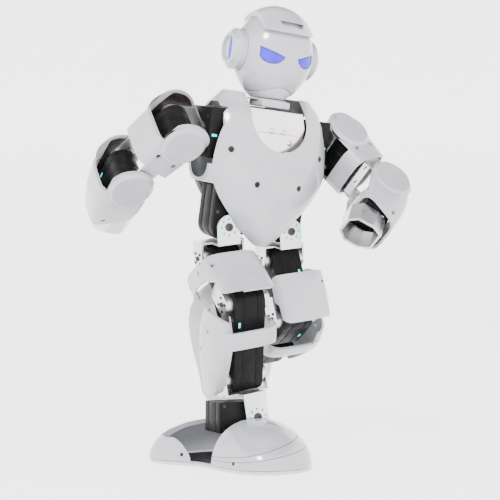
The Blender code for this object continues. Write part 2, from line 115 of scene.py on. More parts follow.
def noise(nodes, links, scale, detail=4.0, stretch=(1, 1, 1)):
    """A noise texture in the object's own coordinates, in metres."""
    place = nodes.new("ShaderNodeTexCoord")
    mapping = nodes.new("ShaderNodeMapping")
    mapping.inputs["Scale"].default_value = stretch
    texture = nodes.new("ShaderNodeTexNoise")
    texture.inputs["Scale"].default_value = scale
    texture.inputs["Detail"].default_value = detail
    links.new(place.outputs["Object"], mapping.inputs["Vector"])
    links.new(mapping.outputs["Vector"], texture.inputs["Vector"])
    return texture.outputs["Fac"]


def ranged(nodes, links, value, low, high):
    mapped = nodes.new("ShaderNodeMapRange")
    mapped.inputs["From Min"].default_value = 0.3
    mapped.inputs["From Max"].default_value = 0.7
    mapped.inputs["To Min"].default_value = low
    mapped.inputs["To Max"].default_value = high
    links.new(value, mapped.inputs["Value"])
    return mapped.outputs["Result"]


def surface(name, colours, roughness, metallic=0.0, coat=0.0, patch=60.0, grain=2500.0, bump=0.05,
            edge=0.35, stretch=(1, 1, 1), specular=0.5):
    """A solid material: colour drifts between two tones, roughness varies, a fine grain bumps it, and
    the Bevel node softens every hard edge."""
    mat, nodes, links, shader = shader_nodes(name)
    tone = nodes.new("ShaderNodeValToRGB")
    tone.color_ramp.elements[0].position = 0.35
    tone.color_ramp.elements[1].position = 0.65
    tone.color_ramp.elements[0].color = (*colours[0], 1)
    tone.color_ramp.elements[1].color = (*colours[1], 1)
    links.new(noise(nodes, links, patch), tone.inputs["Fac"])
    links.new(tone.outputs["Color"], shader.inputs["Base Color"])
    fine = noise(nodes, links, grain, 2.0, stretch)
    links.new(ranged(nodes, links, noise(nodes, links, patch * 3, 6.0, stretch), *roughness),
              shader.inputs["Roughness"])
    shader.inputs["Metallic"].default_value = metallic
    shader.inputs["Coat Weight"].default_value = coat
    shader.inputs["Coat Roughness"].default_value = 0.06
    shader.inputs["Specular IOR Level"].default_value = specular
    bumped = nodes.new("ShaderNodeBump")
    bumped.inputs["Strength"].default_value = bump
    bumped.inputs["Distance"].default_value = 0.1 * MM
    links.new(fine, bumped.inputs["Height"])
    if edge:
        soft = nodes.new("ShaderNodeBevel")
        soft.samples = 4
        soft.inputs["Radius"].default_value = edge * MM
        links.new(soft.outputs["Normal"], bumped.inputs["Normal"])
    links.new(bumped.outputs["Normal"], shader.inputs["Normal"])
    return mat


def lamp(name, core, rim, strength, spread):
    """A lit plastic window, brighter in soft patches."""
    mat, nodes, links, shader = shader_nodes(name)
    tone = nodes.new("ShaderNodeValToRGB")
    tone.color_ramp.elements[0].position = 0.3
    tone.color_ramp.elements[1].position = 0.7
    tone.color_ramp.elements[0].color = (*rim, 1)
    tone.color_ramp.elements[1].color = (*core, 1)
    links.new(noise(nodes, links, spread, 1.0), tone.inputs["Fac"])
    links.new(tone.outputs["Color"], shader.inputs["Base Color"])
    links.new(tone.outputs["Color"], shader.inputs["Emission Color"])
    shader.inputs["Emission Strength"].default_value = strength
    shader.inputs["Roughness"].default_value = 0.2
    shader.inputs["Specular IOR Level"].default_value = 0.2
    return mat


MATERIALS = {
    "white_shell": surface("white_gloss_plastic", ((0.31, 0.312, 0.335), (0.34, 0.342, 0.362)),
                           (0.14, 0.22), coat=0.5, bump=0.02),
    "grey_shell": surface("pale_grey_plastic", ((0.42, 0.43, 0.47), (0.47, 0.48, 0.52)),
                          (0.22, 0.34), bump=0.05),
    "black_plastic": surface("black_servo_plastic", ((0.004, 0.004, 0.004), (0.007, 0.007, 0.0075)),
                             (0.34, 0.48), bump=0.25, grain=3500.0, specular=0.08),
    # Near-black glossy brown: painted shade on the shadowed inner faces of the arm shells.
    "painted_shade_gloss": surface("painted_shade_gloss_plastic", ((0.010, 0.008, 0.008), (0.028, 0.022, 0.02)),
                           (0.14, 0.26), bump=0.01, specular=0.4),
    "silver_metal": surface("blasted_aluminium", ((0.60, 0.61, 0.62), (0.68, 0.685, 0.69)),
                            (0.26, 0.4), metallic=1.0, bump=0.2, grain=4200.0, edge=0.25),
    "smoke_plastic": surface("lacquered_plate", ((0.72, 0.67, 0.66), (0.82, 0.78, 0.77)),
                             (0.16, 0.26), metallic=1.0, bump=0.05, grain=1500.0, stretch=(8, 1, 1)),
    "screw_steel": surface("black_oxide_steel", ((0.02, 0.02, 0.022), (0.045, 0.045, 0.048)),
                           (0.28, 0.42), metallic=0.8, bump=0.15, edge=0.15),
    # Near black: the chest plate's seam line, the foot well's floor, and painted shade for holes and vent
    # slots.
    "dark_hole": surface("dark_recess", ((0.008, 0.008, 0.009), (0.013, 0.013, 0.014)), (0.6, 0.8),
                         bump=0.1, edge=0.0, specular=0.2),
    "board_green": surface("board_lacquer", ((0.02, 0.13, 0.06), (0.03, 0.18, 0.08)), (0.25, 0.4),
                           bump=0.3, grain=1200.0),
    "violet_light": lamp("violet_lens", (0.045, 0.008, 0.62), (0.03, 0.005, 0.5), 0.4, 90.0),
    "violet_rim": lamp("violet_rim", (0.06, 0.04, 0.42), (0.03, 0.02, 0.25), 0.1, 90.0),
    # Cyan: the servos' lamp windows, and also the painted glow on the hip and ankle brackets.
    "cyan_light": lamp("cyan_lamp_and_painted_glow", (0.03, 0.9, 0.85), (0.01, 0.6, 0.65), 0.9, 300.0),
}


# ---------------------------------------------------------------- making pieces
def new_object(name, bm):
    mesh = bpy.data.meshes.new(name)
    bm.to_mesh(mesh)
    bm.free()
    obj = bpy.data.objects.new(name, mesh)
    bpy.context.scene.collection.objects.link(obj)
    return obj


def piece(name, bm, body, mat, s=1, node=None, angle=32, round_edges=0.0):
    """Place a shape on its body, finish it, and let it stand for a CAD node if one is named."""
    bmesh.ops.scale(bm, vec=(s, 1, 1), verts=bm.verts)
    if s < 0:
        bmesh.ops.reverse_faces(bm, faces=bm.faces)
    bmesh.ops.transform(bm, matrix=BODY[body], verts=bm.verts)
    obj = new_object(name, bm)
    obj.data.materials.append(MATERIALS[mat])
    obj.data.shade_smooth()
    obj.data.set_sharp_from_angle(angle=math.radians(angle))
    if round_edges:
        bevel = obj.modifiers.new("rounded_edges", "BEVEL")
        bevel.width = round_edges * MM
        bevel.segments = 3
        bevel.angle_limit = math.radians(40)
        bevel.harden_normals = True
    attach(obj, body)
    if node:
        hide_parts(node)
    return obj


def carved(bm, *steps):
    """The shape after a chain of Booleans, given as (operation, tool) pairs."""
    base = new_object("base", bm)
    tools = []
    for operation, tool in steps:
        tools.append(new_object("tool", tool))
        mod = base.modifiers.new("boolean", "BOOLEAN")
        mod.operation = operation
        mod.solver = "EXACT"
        mod.object = tools[-1]
    mesh = bpy.data.meshes.new_from_object(base.evaluated_get(bpy.context.evaluated_depsgraph_get()))
    result = bmesh.new()
    result.from_mesh(mesh)
    for obj in [base] + tools:
        bpy.data.objects.remove(obj, do_unlink=True)
    return result


def cut(bm, *tools):
    return carved(bm, *(("DIFFERENCE", tool) for tool in tools))


def merged(*shapes):
    """Several separate shapes as one mesh."""
    result = bmesh.new()
    for shape in shapes:
        mesh = bpy.data.meshes.new("part")
        shape.to_mesh(mesh)
        shape.free()
        result.from_mesh(mesh)
        bpy.data.meshes.remove(mesh)
    return result


# ---------------------------------------------------------------- shapes, in millimetres
def box(low, high, bevel=0.0, segments=3):
    bm = bmesh.new()
    bmesh.ops.create_cube(bm, size=1.0)
    low, high = Vector(low), Vector(high)
    bmesh.ops.scale(bm, vec=high - low, verts=bm.verts)
    bmesh.ops.translate(bm, vec=(low + high) / 2, verts=bm.verts)
    if bevel:
        bmesh.ops.bevel(bm, geom=list(bm.edges), offset=bevel, segments=segments, affect="EDGES", profile=0.5)
    return bm


TURNS = {"X": Matrix.Rotation(math.pi / 2, 4, "Y"), "Y": Matrix.Rotation(-math.pi / 2, 4, "X"),
         "Z": Matrix.Identity(4)}


def cylinder(axis, centre, radius, start, end, sides=48, end_radius=None):
    """A round bar along an axis, from start to end on that axis."""
    bm = bmesh.new()
    bmesh.ops.create_cone(bm, cap_ends=True, segments=sides, radius1=radius,
                          radius2=radius if end_radius is None else end_radius, depth=end - start)
    bmesh.ops.translate(bm, vec=(0, 0, (start + end) / 2), verts=bm.verts)
    bmesh.ops.transform(bm, matrix=Matrix.Translation(centre) @ TURNS[axis], verts=bm.verts)
    return bm


def prism(outline, axis, start, end):
    """A flat outline pushed along X, Y or Z. Its points are the other two coordinates in order."""
    others = {"X": (1, 2), "Y": (0, 2), "Z": (0, 1)}[axis]
    along = "XYZ".index(axis)
    bm = bmesh.new()
    ring = []
    for pair in outline:
        point = [start, start, start]
        point[others[0]], point[others[1]] = pair
        ring.append(bm.verts.new(point))
    pushed = bmesh.ops.extrude_face_region(bm, geom=[bm.faces.new(ring)])
    move = [0.0, 0.0, 0.0]
    move[along] = end - start
    verts = [g for g in pushed["geom"] if isinstance(g, bmesh.types.BMVert)]
    bmesh.ops.translate(bm, vec=move, verts=verts)
    bmesh.ops.recalc_face_normals(bm, faces=bm.faces)
    return bm


def arc(centre, radius, start, end, steps=24):
    """Points on an arc, angles in degrees."""
    turns = [math.radians(start + (end - start) * i / steps) for i in range(steps + 1)]
    return [(centre[0] + radius * math.cos(t), centre[1] + radius * math.sin(t)) for t in turns]


def spline(points, steps):
    """A smooth closed curve through points in a plane, whatever the gaps between them."""
    points = [Vector(p) for p in points]
    count = len(points)
    tangents = []
    for i, here in enumerate(points):
        before, after = here - points[i - 1], points[(i + 1) % count] - here
        weight = before.length / (before.length + after.length)
        tangents.append(before.normalized() * (1 - weight) + after.normalized() * weight)
    result = []
    for i, here in enumerate(points):
        after = (i + 1) % count
        span = (points[after] - here).length
        for k in range(steps):
            t = k / steps
            ease = 3 * t * t - 2 * t ** 3
            result.append(tuple(here * (1 - ease) + points[after] * ease
                                + tangents[i] * span * (t ** 3 - 2 * t * t + t)
                                + tangents[after] * span * (t ** 3 - t * t)))
    return result


def corner(axis, place, radius, signs, start, end):
    """A cutter that rounds an outline's corner at place; signs point outward from the outline."""
    (a, b), (i, j) = place, signs
    centre = (a - i * radius, b - j * radius)
    turns = [math.radians(90 * k / 12) for k in range(13)]
    round_edge = [(centre[0] + i * radius * math.cos(q), centre[1] + j * radius * math.sin(q)) for q in turns]
    far = [(centre[0], b + 9 * j), (a + 9 * i, b + 9 * j), (a + 9 * i, centre[1])]
    return prism(round_edge + far, axis, start, end)


def smooth_table(rows, z):
    """Smooth interpolation of rows of (z, value, value ...) at height z."""
    z = min(max(z, rows[0][0]), rows[-1][0])
    index = max(i for i in range(len(rows) - 1) if rows[i][0] <= z)
    a, b, c, d = (rows[min(max(index + k, 0), len(rows) - 1)] for k in (-1, 0, 1, 2))
    span = c[0] - b[0]
    t = (z - b[0]) / span
    values = []
    for p, q, r, s in zip(a[1:], b[1:], c[1:], d[1:]):
        slope_in = (r - p) / (c[0] - a[0]) * span
        slope_out = (s - q) / (d[0] - b[0]) * span
        values.append(q * (2 * t ** 3 - 3 * t * t + 1) + r * (3 * t * t - 2 * t ** 3)
                      + slope_in * (t ** 3 - 2 * t * t + t) + slope_out * (t ** 3 - t * t))
    return values


def superellipse(a, b, power, angle):
    c, d = math.cos(angle), math.sin(angle)
    return (a * math.copysign(abs(c) ** (2 / power), c), b * math.copysign(abs(d) ** (2 / power), d))


def loft(rings):
    """Skin a list of closed rings of points, which all have the same number of points."""
    bm = bmesh.new()
    rows = [[bm.verts.new(p) for p in ring] for ring in rings]
    count = len(rows[0])
    for low, high in zip(rows, rows[1:]):
        for i in range(count):
            j = (i + 1) % count
            bm.faces.new((low[i], low[j], high[j], high[i]))
    bm.faces.new(list(reversed(rows[0])))
    bm.faces.new(rows[-1])
    bmesh.ops.recalc_face_normals(bm, faces=bm.faces)
    bmesh.ops.triangulate(bm, faces=[f for f in bm.faces if len(f.verts) == 4])
    return bm


def tube(stations, power, inset=0.0, extend=0.0, steps=14, sides=72):
    """A rounded-rectangle tube up Z; a station is (z, half x, half y, centre x, centre y)."""
    low, high = stations[0][0], stations[-1][0]
    rings = []
    for k in range(steps + 1):
        z = low + (high - low) * k / steps
        a, b, cx, cy = smooth_table(stations, z)
        lift = {0: -extend, steps: extend}.get(k, 0.0)
        turns = (2 * math.pi * (i + 0.5) / sides for i in range(sides))
        ring = [superellipse(a - inset, b - inset, power, t) for t in turns]
        rings.append([(cx + x, cy + y, z + lift) for x, y in ring])
    return loft(rings)


def sleeve(stations, power):
    """An open moulded tube with walls of even thickness."""
    return cut(tube(stations, power), tube(stations, power, inset=WALL, extend=1.0))


def screw(axis, centre, face, out, radius=1.6, height=0.9):
    """A socket-head screw on a face; out is +1 or -1, the way it stands out along the axis."""
    head = cylinder(axis, centre, radius, *sorted((face - 0.6 * out, face + height * out)), sides=24)
    socket = cylinder(axis, centre, radius * 0.5, *sorted((face + 0.1 * out, face + 3 * out)), sides=6)
    return cut(head, socket)


# ---------------------------------------------------------------- torso
CHEST = (  # z, half width, front depth, back depth
    (-13, 9, 27, 14), (-9, 15, 30, 18), (-3, 22, 33, 24), (6, 31, 35.5, 29), (16, 41, 37.5, 33),
    (27, 50, 39, 35), (42, 58, 39, 37), (60, 59, 37, 38), (80, 56, 33, 37), (96, 50, 25, 31),
    (108, 40, 12, 18),
)
CHEST_POWER = 2.3
CHEST_SCREWS = ((41.3, 62.2), (19.3, 37.3))


def torso_shell(front, steps=56, sides=72):
    """Half of the torso's skin, as a closed wall of even thickness."""
    rings = []
    sign = -1 if front else 1
    for k in range(steps + 1):
        z = CHEST_BASE + (CHEST_TOP - CHEST_BASE) * k / steps
        width, *depths = smooth_table(CHEST, z)
        depth = depths[0 if front else 1]
        turns = [math.pi * i / sides for i in range(sides + 1)]
        outer = [superellipse(width, depth, CHEST_POWER, t) for t in turns]
        inner = [superellipse(width - WALL, depth - WALL, CHEST_POWER, t) for t in reversed(turns)]
        rings.append([(x, sign * (abs(y) + GAP_Y), z) for x, y in outer + inner])
    return loft(rings)


def chest_front(x, z):
    """How far forward the chest's skin is at x and z."""
    width, depth, _ = smooth_table(CHEST, z)
    return -depth * (1 - abs(x / width) ** CHEST_POWER) ** (1 / CHEST_POWER) - GAP_Y


def armholes():
    """Boxes that open both shells round the shoulder and hip servos, and leave room for the arm."""
    tools = []
    for s in (-1, 1):
        for low, high in (((46, -21, 49), (70, 21, 98)), ((29.5, -16.8, 51), (50, 16.8, 94.5)),
                          ((53.8, -21, 33), (70, 21, 50)),
                          ((16.8, -20.4, -30), (60, 22.6, 34))):
            x0, x1 = sorted((s * low[0], s * high[0]))
            tools.append(box((x0, low[1], low[2]), (x1, high[1], high[2])))
    return tools


def make_torso():
    neck = prism([(26, 130), (-26, 130)] + arc((0, 90), 26, 180, 360, 49), "Y", -60, 5)
    middle = ((-16.9, -21.2, -30), (16.9, 23.4, 1.5))
    holes = [cylinder("Y", (s * x, 0, z), 2.5, -60, -22, 24) for x, z in CHEST_SCREWS for s in (-1, 1)]
    piece("chest_shell", cut(torso_shell(True), neck, box(*middle), *armholes(), *holes), "torso",
          "white_shell", node="chest_cover")
    top = prism([(-16, 130), (-16, 98), (16, 98), (16, 130)], "Y", -5, 60)
    piece("back_shell", cut(torso_shell(False), top, box(*middle), *armholes(),
                            cylinder("Y", (0, 0, 84), 4.7, 20, 60)), "torso", "white_shell", node="back_cover")
    screws = []
    for x, z in CHEST_SCREWS:
        for s in (-1, 1):
            screws.append(screw("Y", (s * x, 0, z), chest_front(x, z) + 2.3, -1, 2.3))
    piece("chest_screws", merged(*screws), "torso", "screw_steel")
    shape = [(-26, 52), (-24, 52), (-24, 84.4), (-18.6, 96), (-20.4, 96.6), (-26, 85)]
    piece("chest_plate_face", prism(shape, "X", -24.5, 24.5), "torso", "smoke_plastic",
          node="inner_chest_plate", round_edges=0.3)
    piece("chest_plate_seam", box((-24.5, -26.06, 78.3), (24.5, -25.8, 78.6)), "torso", "dark_hole")
    rivets = []
    for x, z in ((-6, 80), (5, 80), (12, 72), (11, 63)):
        dome = bmesh.new()
        bmesh.ops.create_uvsphere(dome, u_segments=20, v_segments=12, radius=2.3)
        bmesh.ops.scale(dome, vec=(1, 0.6, 1), verts=dome.verts)
        bmesh.ops.translate(dome, vec=(x, -26, z), verts=dome.verts)
        rivets.append(dome)
    piece("chest_plate_rivets", merged(*rivets), "torso", "silver_metal")
    collar = cylinder("Z", (0, 0, 0), 17, 103.6, 104.9, 72)
    stem = box((-13, -17.5, 98.6), (13, 5, 104.0), 0.8)
    piece("neck_mount", merged(stem, collar), "torso", "white_shell", node="neck_bracket", round_edges=0.3)
    ring = cut(cylinder("Y", (0, 0, 84), 4.2, 34.4, 39.2), cylinder("Y", (0, 0, 84), 2.6, 38.6, 50))
    piece("power_key", ring, "button", "black_plastic", node="power_button", round_edges=0.3)
    # Dark bars on the back where the vent slots are: painted shade standing in for the slots' shadowed
    # insides.
    vent_shade_bars = [box((x - 1.1, 36.5, 40), (x + 1.1, 39.0, 62), 0.5) for x in (-14, -8.5, -3, 3, 8.5, 14)]
    piece("back_vent_shade", merged(*vent_shade_bars), "torso", "dark_hole")


# ---------------------------------------------------------------- head
def head_point(turn, tilt, grow=0.0):
    """A point on the egg-shaped head; turn is the heading from the face, tilt the elevation."""
    across = math.cos(tilt)
    x = (HEAD_R.x + grow) * across * math.sin(turn)
    y = -(HEAD_R.y + grow) * across * math.cos(turn)
    z = (HEAD_R.z + grow) * math.sin(tilt)
    chin = max(0.0, -math.sin(tilt))
    return Vector((x * (1 - 0.16 * chin), y * (1 - 0.10 * chin) - 1.0, z + HEAD_Z))


def egg(grow, sides=84, rows=48, low=-62, top=88):
    tilts = [math.radians(low + (top - low) * k / rows) for k in range(rows + 1)]
    return loft([[head_point(2 * math.pi * i / sides, tilt, grow) for i in range(sides)] for tilt in tilts])


def eye_outline(s, grow=0.0):
    """An eye in the face plane: flat brow that drops to the nose, round below."""
    brow, low = 0.5 * grow, grow
    curve = [math.radians(205 + 8.2 * k) for k in range(18)]
    points = [(6.0 - 1.5 * grow, 138.2 + brow)]
    points += [(15.2 + (9.2 + low) * math.cos(q), 139.6 + (7.4 + low) * math.sin(q)) for q in curve]
    points.append((24.0 + grow, 144.5 + grow))
    return [(s * x, z) for x, z in points]


def chin_line(lift=0.0):
    """The part of the front view below the face, under a shallow smile-shaped seam."""
    seam = [(x, 112.6 + lift + 2.4 * math.cos(math.radians(9 * x))) for x in range(-30, 31, 2)]
    return seam + [(30, 90), (-30, 90)]


def ear_tools(grow):
    return [cylinder("X", (0, 2, HEAD_Z + 2), 16.4 + grow, *span, 72) for span in ((20, 60), (-60, -20))]


def make_head():
    sockets = [prism(eye_outline(s, 0.3), "Y", -60, -5) for s in (-1, 1)]
    front = cut(egg(0), egg(-WALL, low=-66), box((-50, 4, 90), (50, 60, 190)), *sockets, *ear_tools(0.4))
    chin = prism(chin_line(), "Y", -60, 60)
    piece("head_front_shell", cut(front, chin), "torso", "white_shell", node="head_front")
    under = carved(egg(-0.5), ("DIFFERENCE", egg(-WALL, low=-66)),
                   ("INTERSECT", prism(chin_line(-0.35), "Y", -60, 4)))
    piece("head_chin", under, "torso", "grey_shell")
    rear = cut(egg(0), egg(-WALL, low=-66), box((-50, -60, 90), (50, 4.3, 190)), *ear_tools(0.4))
    piece("head_rear_shell", rear, "torso", "white_shell", node="head_rear")
    crest = [(-60, HEAD_Z + 16), (-20, HEAD_Z + 19), (30, HEAD_Z + 30), (30, 210), (-60, 210)]
    slot = [(-9, HEAD_Z + 23), (9, HEAD_Z + 23), (11, HEAD_Z + 27), (-11, HEAD_Z + 27)]
    cap = carved(egg(3.2), ("DIFFERENCE", egg(0.3, low=-66)), ("INTERSECT", prism(crest, "X", -22, 22)),
                 ("DIFFERENCE", prism(slot, "Y", -60, -20)))
    piece("brow_crest", cap, "torso", "white_shell", node="brow_cap")
    for side, s in SIDES.items():
        lens = carved(egg(-0.4), ("INTERSECT", prism(eye_outline(s, -1.1), "Y", -60, -5)),
                      ("DIFFERENCE", egg(-1.6, low=-66)))
        piece(side + "_eye_window", lens, "torso", "violet_light", node=side + "_eye_lens")
        rim = carved(egg(-0.15), ("INTERSECT", prism(eye_outline(s), "Y", -60, -5)),
                     ("DIFFERENCE", egg(-1.6, low=-66)),
                     ("DIFFERENCE", prism(eye_outline(s, -1.05), "Y", -60, -5)))
        piece(side + "_eye_rim", rim, "torso", "violet_rim")
        ear = cut(merged_ear(), cylinder("X", (0, 2, HEAD_Z + 2), 9.5, 37.5, 42, 60, 10.5))
        piece(side + "_ear_cap", ear, "torso", "white_shell", s, node=side + "_ear_disc", round_edges=0.5)
        glow = cylinder("X", (0, 2, HEAD_Z + 2), 8.6, 37.3, 37.9)
        bmesh.ops.scale(glow, vec=(1, 0.2, 1), verts=glow.verts, space=Matrix.Translation((0, -2, 0)))
        piece(side + "_ear_lamp", glow, "torso", "violet_light", s)


def merged_ear():
    """The ear's stepped round cap, on the left side."""
    centre = (0, 2, HEAD_Z + 2)
    return carved(cylinder("X", centre, 16.4, 28, 35.5, 72),
                  ("UNION", cylinder("X", centre, 16.4, 35, 39.5, 72, 12.0)))


# ---------------------------------------------------------------- servos and brackets
def placed(bm, axis, toward, centre=(0, 0, 0)):
    """Turn a servo built with its axis on X and its body down, and move it to its place."""
    down = Vector({"-Z": (0, 0, -1), "+Z": (0, 0, 1), "+X": (1, 0, 0)}[toward])
    along = Vector({"X": (1, 0, 0), "Y": (0, 1, 0)}[axis])
    turn = Matrix((along, (-down).cross(along), -down)).transposed().to_4x4()
    bmesh.ops.transform(bm, matrix=Matrix.Translation(Vector(centre)) @ turn, verts=bm.verts)
    return bm


def servo_outline(length, inset=0.0):
    r = SERVO_R - inset
    return arc((0, 0), r, 0, 180, 32) + [(-r, inset - length), (r, inset - length)]


def servo(name, body, axis, toward, s, centre=(0, 0, 0), length=SERVO_LENGTH):
    """A servo module: a three-part case, its two horns, its case screws and its status lamp."""
    slabs = ((-SERVO_HALF, -6.2), (-5.9, 5.9), (6.2, SERVO_HALF))
    case = [prism(servo_outline(length), "X", *slab) for slab in slabs]
    case.append(prism(servo_outline(length, 0.5), "X", -SERVO_HALF + 0.5, SERVO_HALF - 0.5))
    for shape in case[:3]:
        edges = [e for e in shape.edges if e.calc_length() > 5 or e.calc_face_angle(0) > 0.7]
        bmesh.ops.bevel(shape, geom=edges, offset=0.5, segments=3, affect="EDGES", profile=0.5)
    piece(name + "_case", placed(merged(*case), axis, toward, centre), body, "black_plastic", s, node=name)
    horns, screws = [], []
    for out in (-1, 1):
        horns.append(horn(out))
        for y, z in ((-9, 4 - length), (9, 4 - length), (-9, -11), (9, -11)):
            screws.append(screw("X", (0, y, z), out * SERVO_HALF, out, 1.3, 0.5))
    piece(name + "_horns", placed(merged(*horns), axis, toward, centre), body, "silver_metal", s)
    piece(name + "_screws", placed(merged(*screws), axis, toward, centre), body, "screw_steel", s)
    window = box((8.6, -SERVO_R - 0.2, -17), (10.4, -SERVO_R + 1, -12.8), 0.2)
    piece(name + "_lamp", placed(window, axis, toward, centre), body, "cyan_light", s)


def horn(out):
    """A splined disc on the servo's output, with a ring of tapped holes."""
    disc = cylinder("X", (0, 0, 0), HORN_R, *sorted((out * SERVO_HALF, out * HORN_OUT)))
    holes = [cylinder("X", (0, y, z), 0.8, *sorted((out * 15, out * 30)), sides=16)
             for y, z in arc((0, 0), 5.6, 0, 315, 7)]
    return cut(disc, *holes, cylinder("X", (0, 0, 0), 2.0, *sorted((out * 15.5, out * 30)), sides=24))


def ring_of_screws(axis, centre, face, out, count=4, ring=5.4):
    """The screws that hold a bracket arm to a horn, round the middle one."""
    a, b = {"X": (1, 2), "Y": (0, 2)}[axis]
    heads = [screw(axis, centre, face, out, 2.0, 1.0)]
    for i in range(count):
        turn = math.radians(45 + 360 * i / count)
        place = list(centre)
        place[a] += ring * math.cos(turn)
        place[b] += ring * math.sin(turn)
        heads.append(screw(axis, tuple(place), face, out, 1.15, 0.6))
    return heads


def yoke(axis, plate, reach, half=8.0):
    """A sheet-metal U: a plate across at height plate, with two arms that hold a joint axis."""
    down = plate > reach
    low, high = (plate - SHEET, plate) if down else (plate, plate + SHEET)
    outer = [(-ARM_OUT, low), (ARM_OUT, low), (ARM_OUT, high), (-ARM_OUT, high)]
    bm = prism(outer, "Y" if axis == "X" else "X", -half, half)
    middle = (low + high) / 2
    if down:
        outline = arc((0, reach), half, 180, 360) + [(half, middle), (-half, middle)]
    else:
        outline = arc((0, reach), half, 0, 180) + [(-half, middle), (half, middle)]
    steps = []
    for sign in (-1, 1):
        steps.append(("UNION", prism(outline, axis, *sorted((sign * ARM_IN, sign * ARM_OUT)))))
    for x in (-9, 9):
        centre = (x, 0, 0) if axis == "X" else (0, x, 0)
        steps.append(("DIFFERENCE", cylinder("Z", centre, 2.2, low - 3, high + 3, 24)))
    return carved(bm, *steps)


def arm_screws(axis, reach):
    heads = []
    for out in (-1, 1):
        heads += ring_of_screws(axis, (0, 0, reach), out * ARM_OUT, out)
    return merged(*heads)


def horn_plate(pivot, edge):
    """A bracket from a pitch joint's two sides to the round horn of a roll joint in front."""
    roll = pivot + HIP_DROP if edge > pivot else pivot - ANKLE_DROP
    up = edge < roll
    front = [(-10, edge), (10, edge)] if up else [(10, edge), (-10, edge)]
    start = 0 if up else 180
    outline = front + arc((0, roll), 10, start, start + 180, 32)
    level = sorted((edge, edge + SHEET * (1 if edge < pivot else -1)))
    holes = [cylinder("Y", (x, 0, z), 1.0, -30, -15, 16) for x, z in arc((0, roll), 6.6, 0, 315, 7)]
    bm = carved(yoke("X", edge, pivot), ("UNION", prism(outline, "Y", -ARM_OUT, -ARM_IN)),
                ("UNION", box((-10, -ARM_OUT, level[0]), (10, 5, level[1]))))
    return cut(bm, *holes), roll


def make_torso_servos():
    for side, s in SIDES.items():
        servo(side + "_hip_roll_servo", "torso", "Y", "+Z", s, centre=(HIP_X, 0, 0))
        lid = merged(box((30, -16, 53), (42.8, 16, 93), 0.8), box((43.1, -16, 53), (56, 16, 93), 0.8))
        piece(side + "_shoulder_servo_case", lid, "torso", "black_plastic", s,
              node=side + "_shoulder_pitch_servo")
        heads = [screw("X", (0, y, z), 56, 1, 1.4, 0.5) for y in (-11, 11) for z in (61, 85)]
        piece(side + "_shoulder_servo_screws", merged(*heads), "torso", "screw_steel", s)
        piece(side + "_shoulder_horn", cylinder("X", (0, 0, SHOULDER_Z), HORN_R, 55.5, 58.2), "torso",
              "silver_metal", s)
        glow = box((49, -16.3, 70), (53.5, -15.4, 72), 0.2)
        piece(side + "_shoulder_lamp", glow, "torso", "cyan_light", s)


# ---------------------------------------------------------------- arms
def arm_shell(end, inner_end, disc, outer_top, inner_top, taper):
    """A limb shell: a disc plate front and back on the joint, an outer wall, and a lower sleeve."""
    stations = ((end, *taper, 0.0, 0.0), (end * 0.5, 20.0, 22.6, 0.0, 0.0),
                (0, 21.5, 22.8, 0.0, 0.0), (disc, 21.0, 22.4, 0.0, 0.0))
    plate = arc((0, 0), disc - 0.4, -20, 200, 64)
    plate += [(-24, -10), (-24, inner_end), (24, end - 2), (24, -10)]
    opening = [(-40, inner_top), (0, inner_top), (0, outer_top), (40, outer_top), (40, 40), (-40, 40)]
    steps = [("INTERSECT", prism(plate, "Y", -40, 40)), ("DIFFERENCE", prism(opening, "Y", -19.9, 19.9))]
    for out in (-1, 1):
        start, stop = (-24.4, -22) if out < 0 else (22, 24.4)
        rim, face = (15.5, 18.5) if out < 0 else (18.5, 15.5)
        steps.append(("UNION", cylinder("Y", (0, 0, 0), rim, start, stop, 96, face)))
    for x in (-9, 9):
        steps.append(("DIFFERENCE", cylinder("Y", (x, 0, end + 13), 1.9, -40, -15, 24)))
    return carved(sleeve(stations, 4.5), *steps)


def painted_shade_lining(disc, low):
    """A dark glossy sheet of painted shade on the inner faces of a limb shell's two disc plates."""
    outline = arc((0, 0), disc - 2.5, -15, 195, 48) + [(-15, -6), (-15, low), (15, low), (15, -6)]
    return merged(prism(outline, "Y", 19.95, 20.7), prism(outline, "Y", -20.7, -19.95))


def make_hand(side, s):
    """A faceted ring of bent strip below the forearm, on a tab screwed to the servo."""
    outer = [(8, -9), (8, 9), (-2, 13.5), (-15, 13.5), (-22, 7), (-22, -7), (-15, -13.5), (-2, -13.5)]
    inner = [(x - 1.8 if x > 0 else x + (1.8 if x < -16 else 0.6), y * 0.87) for x, y in outer]
    ring = cut(prism(outer, "Z", -57, -37), prism(inner, "Z", -60, -30))
    strip = carved(ring, ("UNION", box((6.2, -8, -44), (8, 8, -31))),
                   ("UNION", box((-8, -8, -32.2), (7, 8, -30.6))))
    body = side + "_forearm"
    piece(side + "_hand_strip", strip, body, "silver_metal", s, node=side + "_hand", angle=20)
    heads = [screw("X", (0, y, -41), 8, 1, 1.5, 0.8) for y in (-4.5, 4.5)]
    piece(side + "_hand_screws", merged(*heads), body, "screw_steel", s)


